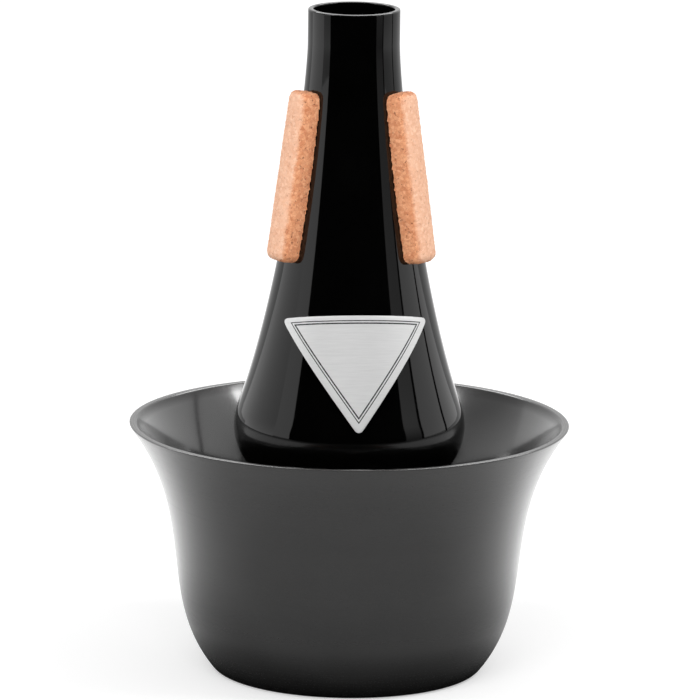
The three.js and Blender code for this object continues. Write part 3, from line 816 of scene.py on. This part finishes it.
def cork_strip(node, degrees):
    """One cork: a block rounded over edges and ends, cut to the cone, roughened by its granules."""
    half_width, half_length = CORK_WIDTH / 2, CORK_LENGTH / 2
    face = CORK_THICKNESS - CORK_CROWN
    deselect()
    bpy.ops.mesh.primitive_cube_add(size=1, enter_editmode=True, location=(0, 0, 0))
    piece = name_it(bpy.context.object, f"{node}_strip")
    all_of_it()
    bpy.ops.transform.resize(value=(CORK_WIDTH, face + CORK_ROOT, CORK_LENGTH))
    bpy.ops.transform.translate(value=(0, (CORK_ROOT - face) / 2, 0))
    all_of_it()
    bpy.ops.mesh.bisect(plane_co=(0, 0, 0), plane_no=(1, 0, 0))
    pick(piece, lambda a: abs(a.x) < WELD and a.y < 0, "VERT")
    bpy.ops.transform.translate(value=(0, -CORK_CROWN, 0))
    out, side = -face + WELD, half_width - WELD
    pick(piece, lambda a, b: max(a.y, b.y) < out and min(abs(a.x), abs(b.x)) > side)
    bpy.ops.mesh.bevel(offset=CORK_EDGE_ROUND, segments=CORK_EDGE_STEPS, affect="EDGES")
    end = half_length - WELD
    back = CORK_ROOT - WELD
    pick(piece, lambda a, b: (
        a.z * b.z > end * end and min(a.y, b.y) < back and abs(a.x) + abs(b.x) > WELD
    ))
    bpy.ops.mesh.bevel(offset=CORK_END_ROUND, segments=CORK_END_STEPS, affect="EDGES")
    bpy.ops.object.mode_set(mode="OBJECT")
    finish_modifier(piece, "SIMPLE_DEFORM", deform_method="TAPER", deform_axis="Z", factor=CORK_TAPER)
    top = flank_point(CORK_TOP_HEIGHT)
    below = flank_point(CORK_TOP_HEIGHT - CORK_LENGTH)
    slope = (top - below).normalized()
    middle = top - slope * half_length
    around = Matrix.Rotation(math.radians(degrees), 3, "Z")
    piece.rotation_euler = (math.atan2(slope.x, slope.y), 0, math.radians(degrees))
    piece.location = around @ Vector((0, -middle.x, middle.y))
    apply_place(piece)
    cut_by(piece, cork_bed())
    finish_modifier(piece, "REMESH", mode="VOXEL", voxel_size=CORK_VOXEL)
    outward = around @ Vector((0, -1, 0))
    marks = piece.data.attributes.new("outer", "FLOAT", "POINT")
    for mark, vertex in zip(marks.data, piece.data.vertices):
        mark.value = max(0.0, vertex.normal.dot(outward))
    swell = relief_texture("cork_swell", "CLOUDS", CORK_SWELL_SIZE)
    finish_modifier(piece, "DISPLACE", texture=swell, strength=CORK_SWELL_RELIEF, mid_level=0.75)
    grain = relief_texture("cork_grain", "VORONOI", CORK_GRAIN_SIZE)
    finish_modifier(piece, "DISPLACE", texture=grain, strength=-CORK_GRAIN_RELIEF, mid_level=0.2)
    crumb = relief_texture("cork_crumb", "CLOUDS", CORK_GRAIN_SIZE / 3, noise_depth=2)
    finish_modifier(piece, "DISPLACE", texture=crumb, strength=CORK_GRAIN_RELIEF, mid_level=0.7)
    smooth_all(piece)
    return stand_for(piece, node)


def badge():
    """The badge: a flat triangle with round corners, thickened, mapped while flat, then bent on."""
    deselect()
    radius = BADGE_WIDTH / math.sqrt(3)
    bpy.ops.mesh.primitive_circle_add(vertices=3, radius=radius, fill_type="NGON", enter_editmode=True)
    piece = name_it(bpy.context.object, "badge")
    all_of_it()
    bpy.ops.transform.resize(value=(1, -BADGE_DROP / (radius * 1.5), 1), center_override=(0, 0, 0))
    bpy.ops.transform.translate(value=(0, -BADGE_DROP / 3, 0))
    bpy.ops.mesh.bevel(offset=BADGE_CORNER, segments=BADGE_CORNER_STEPS, affect="VERTICES")
    for i in range(1, BADGE_CUTS):
        across = BADGE_WIDTH * (i / BADGE_CUTS - 0.5)
        all_of_it()
        bpy.ops.mesh.bisect(plane_co=(across, 0, 0), plane_no=(1, 0, 0))
    for i in range(1, BADGE_CUTS // 2):
        down = -BADGE_DROP * 2 * i / BADGE_CUTS
        all_of_it()
        bpy.ops.mesh.bisect(plane_co=(0, down, 0), plane_no=(0, 1, 0))
    all_of_it()
    bpy.ops.mesh.normals_make_consistent(inside=False)
    bpy.ops.object.mode_set(mode="OBJECT")
    finish_modifier(piece, "SOLIDIFY", thickness=BADGE_THICKNESS, offset=0)
    break_edges(piece, *BADGE_EDGES)
    plate = piece.data.uv_layers.new(name="plate")
    for loop, flat in zip(piece.data.loops, plate.data):
        place = piece.data.vertices[loop.vertex_index].co
        flat.uv = (place.x, -place.y)
    bend_onto_flank(piece)
    bpy.ops.object.shade_smooth_by_angle(angle=SHADE_ANGLE)
    return stand_for(piece, "badge_plate")


def bend_onto_flank(piece):
    """Bends the flat plate round the cone. A spot keeps its distance from the point of that cone."""
    top = flank_point(BADGE_TOP_HEIGHT)
    below = flank_point(BADGE_TOP_HEIGHT - BADGE_DROP)
    lean = (below.x - top.x) / (below - top).length
    apex = top.x / lean
    down = [top] + [point for point in reversed(cone_outline()) if point.y < BADGE_TOP_HEIGHT]
    for vertex in piece.data.vertices:
        side, depth, height = vertex.co.x, -vertex.co.y, vertex.co.z
        from_apex = math.hypot(side, apex + depth)
        angle = BADGE_TURN - math.pi / 2 + math.atan2(side, apex + depth) / lean
        left = from_apex - apex
        i = 1
        while i < len(down) - 1 and left > (down[i] - down[i - 1]).length:
            left -= (down[i] - down[i - 1]).length
            i += 1
        step = (down[i] - down[i - 1]).normalized()
        at = down[i - 1] + step * left
        lift = BADGE_GLUE + BADGE_THICKNESS / 2 + height
        radius = at.x - step.y * lift
        vertex.co = (radius * math.cos(angle), radius * math.sin(angle), at.y + step.x * lift)


def stud_ring(name, node):
    """A washer or sleeve round the stud that fills its node's box, with broken edges."""
    low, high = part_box(node)
    outline = rounded([
        (STUD_HOLE_RADIUS, low.z, EDGE_BREAK / 2),
        (high.x, low.z, EDGE_BREAK),
        (high.x, high.z, EDGE_BREAK),
        (STUD_HOLE_RADIUS, high.z, EDGE_BREAK / 2),
    ])
    return stand_for(turned(name, outline), node)


def hub_bush():
    low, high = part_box("hub_bush")
    outline = rounded([
        (STUD_HOLE_RADIUS, low.z, EDGE_BREAK),
        (BUSH_SLEEVE_RADIUS, low.z, EDGE_BREAK),
        (BUSH_SLEEVE_RADIUS, high.z - BUSH_FLANGE),
        (high.x, high.z - BUSH_FLANGE, EDGE_BREAK),
        (high.x, high.z, EDGE_BREAK),
        (STUD_HOLE_RADIUS, high.z, EDGE_BREAK),
    ])
    return stand_for(turned("flanged_bush", outline), "hub_bush")


def felt():
    """The felt washer, its rim fuzzy and a little uneven."""
    low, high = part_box("felt_washer")
    outline = rounded([
        (STUD_HOLE_RADIUS, low.z, EDGE_BREAK),
        (high.x - EDGE_BREAK, low.z, EDGE_BREAK * 2),
        (high.x - EDGE_BREAK, high.z, EDGE_BREAK * 2),
        (STUD_HOLE_RADIUS, high.z, EDGE_BREAK),
    ])
    piece = turned("felt_ring", outline)
    fuzz = relief_texture("felt_fuzz", "CLOUDS", FELT_FUZZ_SIZE, noise_depth=3)
    finish_modifier(piece, "SUBSURF", levels=1, render_levels=1)
    finish_modifier(piece, "DISPLACE", texture=fuzz, strength=FELT_FUZZ_RELIEF, mid_level=0.5)
    smooth_all(piece)
    return stand_for(piece, "felt_washer")


def spring_seat(name, node, side):
    """A seat with the collar that centres the spring. Side is 1 where the collar points up, else -1."""
    low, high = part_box(node)
    back, tip = (low.z, high.z) if side > 0 else (high.z, low.z)
    face = back + side * SEAT_PLATE
    outline = rounded([
        (STUD_HOLE_RADIUS, back, EDGE_BREAK),
        (high.x, back, EDGE_BREAK),
        (high.x, face, EDGE_BREAK),
        (SEAT_COLLAR_RADIUS, face),
        (SEAT_COLLAR_RADIUS, tip, EDGE_BREAK * 2),
        (STUD_HOLE_RADIUS, tip, EDGE_BREAK),
    ])
    return stand_for(turned(name, outline), node)


def end_plug():
    """The nylon cap inside the cone's base, with its boss for the stud."""
    low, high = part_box("end_cap")
    spigot = CAP_OPENING_RADIUS - CAP_SPIGOT_GAP
    flange_base = CONE_BASE + CONE_WALL + CAP_BEDDING
    flange_top = flange_base + CAP_FLANGE
    outline = rounded([
        (STUD_HOLE_RADIUS, low.z, EDGE_BREAK),
        (spigot, low.z, EDGE_BREAK * 2),
        (spigot, flange_base),
        (high.x, flange_base, EDGE_BREAK),
        (high.x, flange_top, EDGE_BREAK * 2),
        (CAP_BOSS_RADIUS, flange_top, EDGE_BREAK),
        (CAP_BOSS_RADIUS, high.z, EDGE_BREAK * 2),
        (STUD_HOLE_RADIUS, high.z, EDGE_BREAK),
    ])
    return stand_for(turned("end_plug", outline), "end_cap")


def threaded_stud():
    """The stud: one pitch of thread wound up the axis by a screw, then cut off square and chamfered."""
    low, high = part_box("stud")
    crest = high.x - TOUCH
    root = crest - STUD_THREAD_DEPTH
    pitch = STUD_THREAD_PITCH
    turns = math.ceil((high.z - low.z) / pitch) + 2
    base = low.z - pitch
    piece = walked(
        "threaded_stud",
        [Vector((root + (crest - root) * out, base + pitch * up)) for out, up in STUD_THREAD_SHARES],
    )
    bpy.ops.object.mode_set(mode="OBJECT")
    wind(piece, pitch, turns, STUD_THREAD_STEPS)
    edit(piece)
    for height, way in ((low.z, -1), (high.z, 1)):
        all_of_it()
        bpy.ops.mesh.bisect(
            plane_co=(0, 0, height), plane_no=(0, 0, way), use_fill=True, clear_outer=True,
            threshold=WELD,
        )
    close_up(piece)
    core = crest - STUD_END_CHAMFER
    blank = turned("stud_blank", [
        Vector((0, low.z)),
        Vector((core, low.z)),
        Vector((crest + TOUCH, low.z + STUD_END_CHAMFER)),
        Vector((crest + TOUCH, high.z - STUD_END_CHAMFER)),
        Vector((core, high.z)),
        Vector((0, high.z)),
    ])
    cut_by(piece, blank, "INTERSECT")
    bpy.ops.object.shade_smooth_by_angle(angle=STUD_SHADE_ANGLE)
    return stand_for(piece, "stud")


def hex_nut(name, node):
    """A hexagon nut: six flats, both faces chamfered round, bored for the stud."""
    low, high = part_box(node)
    corner = NUT_ACROSS_FLATS / math.sqrt(3)
    deselect()
    bpy.ops.mesh.primitive_cylinder_add(
        vertices=6, radius=corner, depth=high.z - low.z, location=(0, 0, (low.z + high.z) / 2)
    )
    piece = name_it(bpy.context.object, name)
    apply_place(piece)
    blank = turned("nut_blank", rounded([
        (STUD_HOLE_RADIUS - EDGE_BREAK, low.z),
        (corner - NUT_CHAMFER, low.z),
        (corner, low.z + NUT_CHAMFER / 2),
        (corner, high.z - NUT_CHAMFER / 2),
        (corner - NUT_CHAMFER, high.z),
        (STUD_HOLE_RADIUS - EDGE_BREAK, high.z),
    ]))
    cut_by(piece, blank, "INTERSECT")
    break_edges(piece, *NUT_EDGES)
    bpy.ops.object.shade_smooth_by_angle(angle=SHADE_ANGLE)
    return stand_for(piece, node)


def coil_spring():
    """The spring: a round wire section wound up the stud, with both ends turned down onto the seats."""
    low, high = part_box("spring")
    radius = SPRING_WIRE / 2
    start = low.z + SPRING_WIRE
    climb = (high.z - low.z - 2 * SPRING_WIRE) / SPRING_CURLS
    deselect()
    bpy.ops.mesh.primitive_circle_add(
        vertices=SPRING_WIRE_STEPS, radius=radius, rotation=(math.pi / 2, 0, 0),
    )
    piece = name_it(bpy.context.object, "coil_spring")
    piece.location = (SPRING_RADIUS, 0, start)
    apply_place(piece)
    wind(piece, climb, SPRING_CURLS, SPRING_STEPS)
    edit(piece)
    for height, way in ((start, -1), (high.z - SPRING_WIRE, 1)):
        centre = Vector((SPRING_RADIUS, 0, height))
        pick(piece, lambda a: (a - centre).length < radius * 1.02 and abs(a.y) < WELD, "VERT")
        onto_seat = (0, 0, way * SPRING_WIRE * 0.5)
        bpy.ops.mesh.extrude_region_move(TRANSFORM_OT_translate={"value": onto_seat})
        bpy.ops.mesh.edge_face_add()
    return stand_for(close_up(piece), "spring")


def thumb_wheel():
    """The fluted thumb nut: a wheel with finger flutes, a neck above it and a pocket for the insert."""
    low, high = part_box("thumb_nut_knob")
    radius = high.y
    wheel_top = low.z + KNOB_WHEEL
    piece = turned("thumb_wheel", rounded([
        (KNOB_MOUTH_RADIUS, low.z, EDGE_BREAK),
        (radius, low.z, KNOB_BEVEL),
        (radius, wheel_top, KNOB_BEVEL),
        (KNOB_NECK_RADIUS, wheel_top, KNOB_BEVEL),
        (KNOB_NECK_RADIUS, high.z, EDGE_BREAK),
        (KNOB_POCKET_RADIUS, high.z, EDGE_BREAK),
        (KNOB_POCKET_RADIUS, low.z + KNOB_FLOOR),
        (KNOB_MOUTH_RADIUS, low.z + KNOB_FLOOR, EDGE_BREAK),
    ]), KNOB_STEPS)
    deselect()
    reach = radius - KNOB_FLUTE_DEPTH + KNOB_FLUTE_RADIUS
    flutes = []
    for i in range(KNOB_FLUTES):
        angle = math.tau * (i + 0.5) / KNOB_FLUTES
        bpy.ops.mesh.primitive_cylinder_add(
            vertices=KNOB_FLUTE_STEPS, radius=KNOB_FLUTE_RADIUS, depth=KNOB_WHEEL * 2,
            location=(reach * math.cos(angle), reach * math.sin(angle), low.z + KNOB_WHEEL / 2),
        )
        flutes.append(bpy.context.object)
    for flute in flutes:
        flute.select_set(True)
    bpy.ops.object.join()
    cut_by(piece, apply_place(bpy.context.object))
    break_edges(piece, *KNOB_EDGES)
    bpy.ops.object.shade_smooth_by_angle(angle=SHADE_ANGLE)
    return stand_for(piece, "thumb_nut_knob")


def camera():
    """The photograph's view: level from the front, tilted down, and rolled by under a degree."""
    across = Vector((1, 0, 0))
    forward = Vector((0, math.cos(CAMERA_TILT), -math.sin(CAMERA_TILT)))
    up = across.cross(forward)
    right = across * math.cos(CAMERA_ROLL) + up * math.sin(CAMERA_ROLL)
    top = up * math.cos(CAMERA_ROLL) - across * math.sin(CAMERA_ROLL)
    eye = bpy.data.cameras.new("camera")
    eye.lens = CAMERA_LENS
    eye.sensor_width = CAMERA_SENSOR
    stand = bpy.data.objects.new("camera", eye)
    bpy.context.scene.collection.objects.link(stand)
    turn = Matrix((right, top, -forward)).transposed().to_4x4()
    stand.matrix_world = Matrix.Translation(CAMERA_PLACE) @ turn
    bpy.context.scene.camera = stand


def shown_rays(finish):
    """1 for the rays that show the surroundings: straight from the camera, and by gloss or glass."""
    straight, glossy, through = (
        finish.node("ShaderNodeLightPath", {}, {}, name)
        for name in ("Is Camera Ray", "Is Glossy Ray", "Is Transmission Ray")
    )
    return straight, glossy.most(through)


def studio_floor():
    """A pale floor: white to the camera with the mute's soft shadow, darker in its foot's gloss by a
    painted shadow.
    """
    deselect()
    bpy.ops.mesh.primitive_circle_add(
        vertices=SMALL_STEPS, radius=FLOOR_RADIUS, fill_type="NGON", location=(0, 0, 0),
    )
    floor = name_it(bpy.context.object, "floor")
    finish = Finish(bpy.data.materials.new("pale_floor"))
    straight, mirrored = shown_rays(finish)
    x, y, _ = finish.parts(finish.place())
    away = (x * x + y * y) ** 0.5
    shown = straight * away.spread(*FLOOR_GLOW_REACH, FLOOR_NEAR_GLOW, FLOOR_FAR_GLOW)
    # to the gloss the floor glows only past a painted shadow round the foot, and more behind the mute than
    # in front
    near = away.spread(*MIRRORED_START) * y.spread(*MIRRORED_BEHIND)
    glow = shown + mirrored * near * away.spread(*MIRRORED_END, 1.0, 0.0)
    # painted shadow: round the foot the floor's colour turns near black to the gloss
    foot = mirrored * away.spread(*PAINTED_FOOT_SHADOW_REACH, 1.0, 0.0)
    finish.dress(
        Base_Color=finish.mixed(foot, grey(FLOOR_GREY), grey(FLOOR_PAINTED_SHADOW_GREY)),
        Roughness=1.0,
        Specular_IOR_Level=0.0,
        Emission_Color=finish.mixed(glow, grey(0.0), grey(1.0)),
        Emission_Strength=1.0,
    )
    floor.data.materials.append(finish.owner)


def bent_card(name, middle, half_sweep, foot_glow=0.0, head_glow=0.0):
    """A card bent round the mute, black or a grey that changes upwards, which only its gloss sees."""
    deselect()
    bpy.ops.mesh.primitive_cylinder_add(
        vertices=CARD_STEPS, radius=CARD_RADIUS, depth=CARD_HEIGHT, end_fill_type="NOTHING",
        location=(0, 0, CARD_HEIGHT / 2), enter_editmode=True,
    )
    card = name_it(bpy.context.object, name)
    facing = Vector((math.sin(middle), -math.cos(middle), 0))
    pick(card, lambda at, normal: Vector((at.x, at.y, 0)).angle(facing) > half_sweep, "FACE")
    bpy.ops.mesh.delete(type="FACE")
    bpy.ops.object.mode_set(mode="OBJECT")
    finish = Finish(bpy.data.materials.new(name))
    _, _, height = finish.parts(finish.place())
    up = height.spread(-CARD_HEIGHT / 2, CARD_GLOW_HEIGHT - CARD_HEIGHT / 2)
    card.data.materials.append(finish.dress(
        Base_Color=grey(0.0),
        Roughness=1.0,
        Specular_IOR_Level=0.0,
        Emission_Color=finish.mixed(up, grey(foot_glow), grey(head_glow)),
        Emission_Strength=1.0,
    ))
    card.visible_camera = False
    card.visible_diffuse = False
    card.visible_transmission = False
    card.visible_shadow = False


def soft_box(name, direction, size, glow):
    """A soft box that shines on the mute, and that its gloss mirrors unless that is switched off."""
    lamp = bpy.data.lights.new(name, "AREA")
    lamp.shape = "ELLIPSE"
    lamp.size, lamp.size_y = size
    lamp.energy = glow * 4 * size[0] * size[1]  # it looks as bright as its power over 4 times its area
    stand = bpy.data.objects.new(name, lamp)
    bpy.context.scene.collection.objects.link(stand)
    stand.location = direction.normalized() * BOX_DISTANCE
    stand.rotation_euler = (-direction).to_track_quat("-Z", "Y").to_euler()
    return stand


def studio():
    """The white tent, its floor, the cards that the gloss mirrors, and the soft boxes."""
    surroundings = bpy.data.worlds.new("white_tent")
    bpy.context.scene.world = surroundings
    tent = Finish(surroundings)
    straight, mirrored = shown_rays(tent)
    backdrop = tent.tree.nodes["Background"]
    tent.feed(backdrop.inputs["Color"], grey(1.0))
    tent.feed(backdrop.inputs["Strength"], TENT_LIGHT + straight.most(mirrored) * (1 - TENT_LIGHT))
    studio_floor()
    bent_card("front_card", CARD_TURN, CARD_HALF_SWEEP)
    bent_card("grey_veil", VEIL_TURN, VEIL_HALF_SWEEP, VEIL_FOOT_GLOW, VEIL_HEAD_GLOW)
    bent_card("side_sheet", SHEET_TURN, SHEET_HALF_SWEEP, SHEET_FOOT_GLOW, SHEET_HEAD_GLOW)
    for turn in POST_TURNS:
        bent_card("box_post", turn, POST_HALF_SWEEP)
    soft_box("left_box", *LEFT_BOX)
    soft_box("right_box", *RIGHT_BOX)
    soft_box("back_box", *BACK_BOX).visible_diffuse = False
    soft_box("front_fill", *FILL_BOX).visible_glossy = False
    bpy.context.scene.view_settings.view_transform = "Standard"


camera()
studio()

cup_body()
hub_bush()

felt()
spring_seat("lower_seat", "spring_lower_seat", 1)
spring = coil_spring()
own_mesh(spring)

cone_body()
end_plug()
for node, degrees in CORK_TURNS.items():
    cork_strip(node, degrees)
badge()
threaded_stud()
hex_nut("lock_nut", "stud_lock_nut")
stud_ring("lock_washer", "stud_washer")
hex_nut("jam_nut", "stud_jam_nut")
stud_ring("fibre_ring", "fibre_washer")
spring_seat("upper_seat", "spring_upper_seat", -1)

thumb_wheel()
stud_ring("threaded_insert", "thumb_nut_insert")
stud_ring("thrust_washer", "thumb_nut_washer")
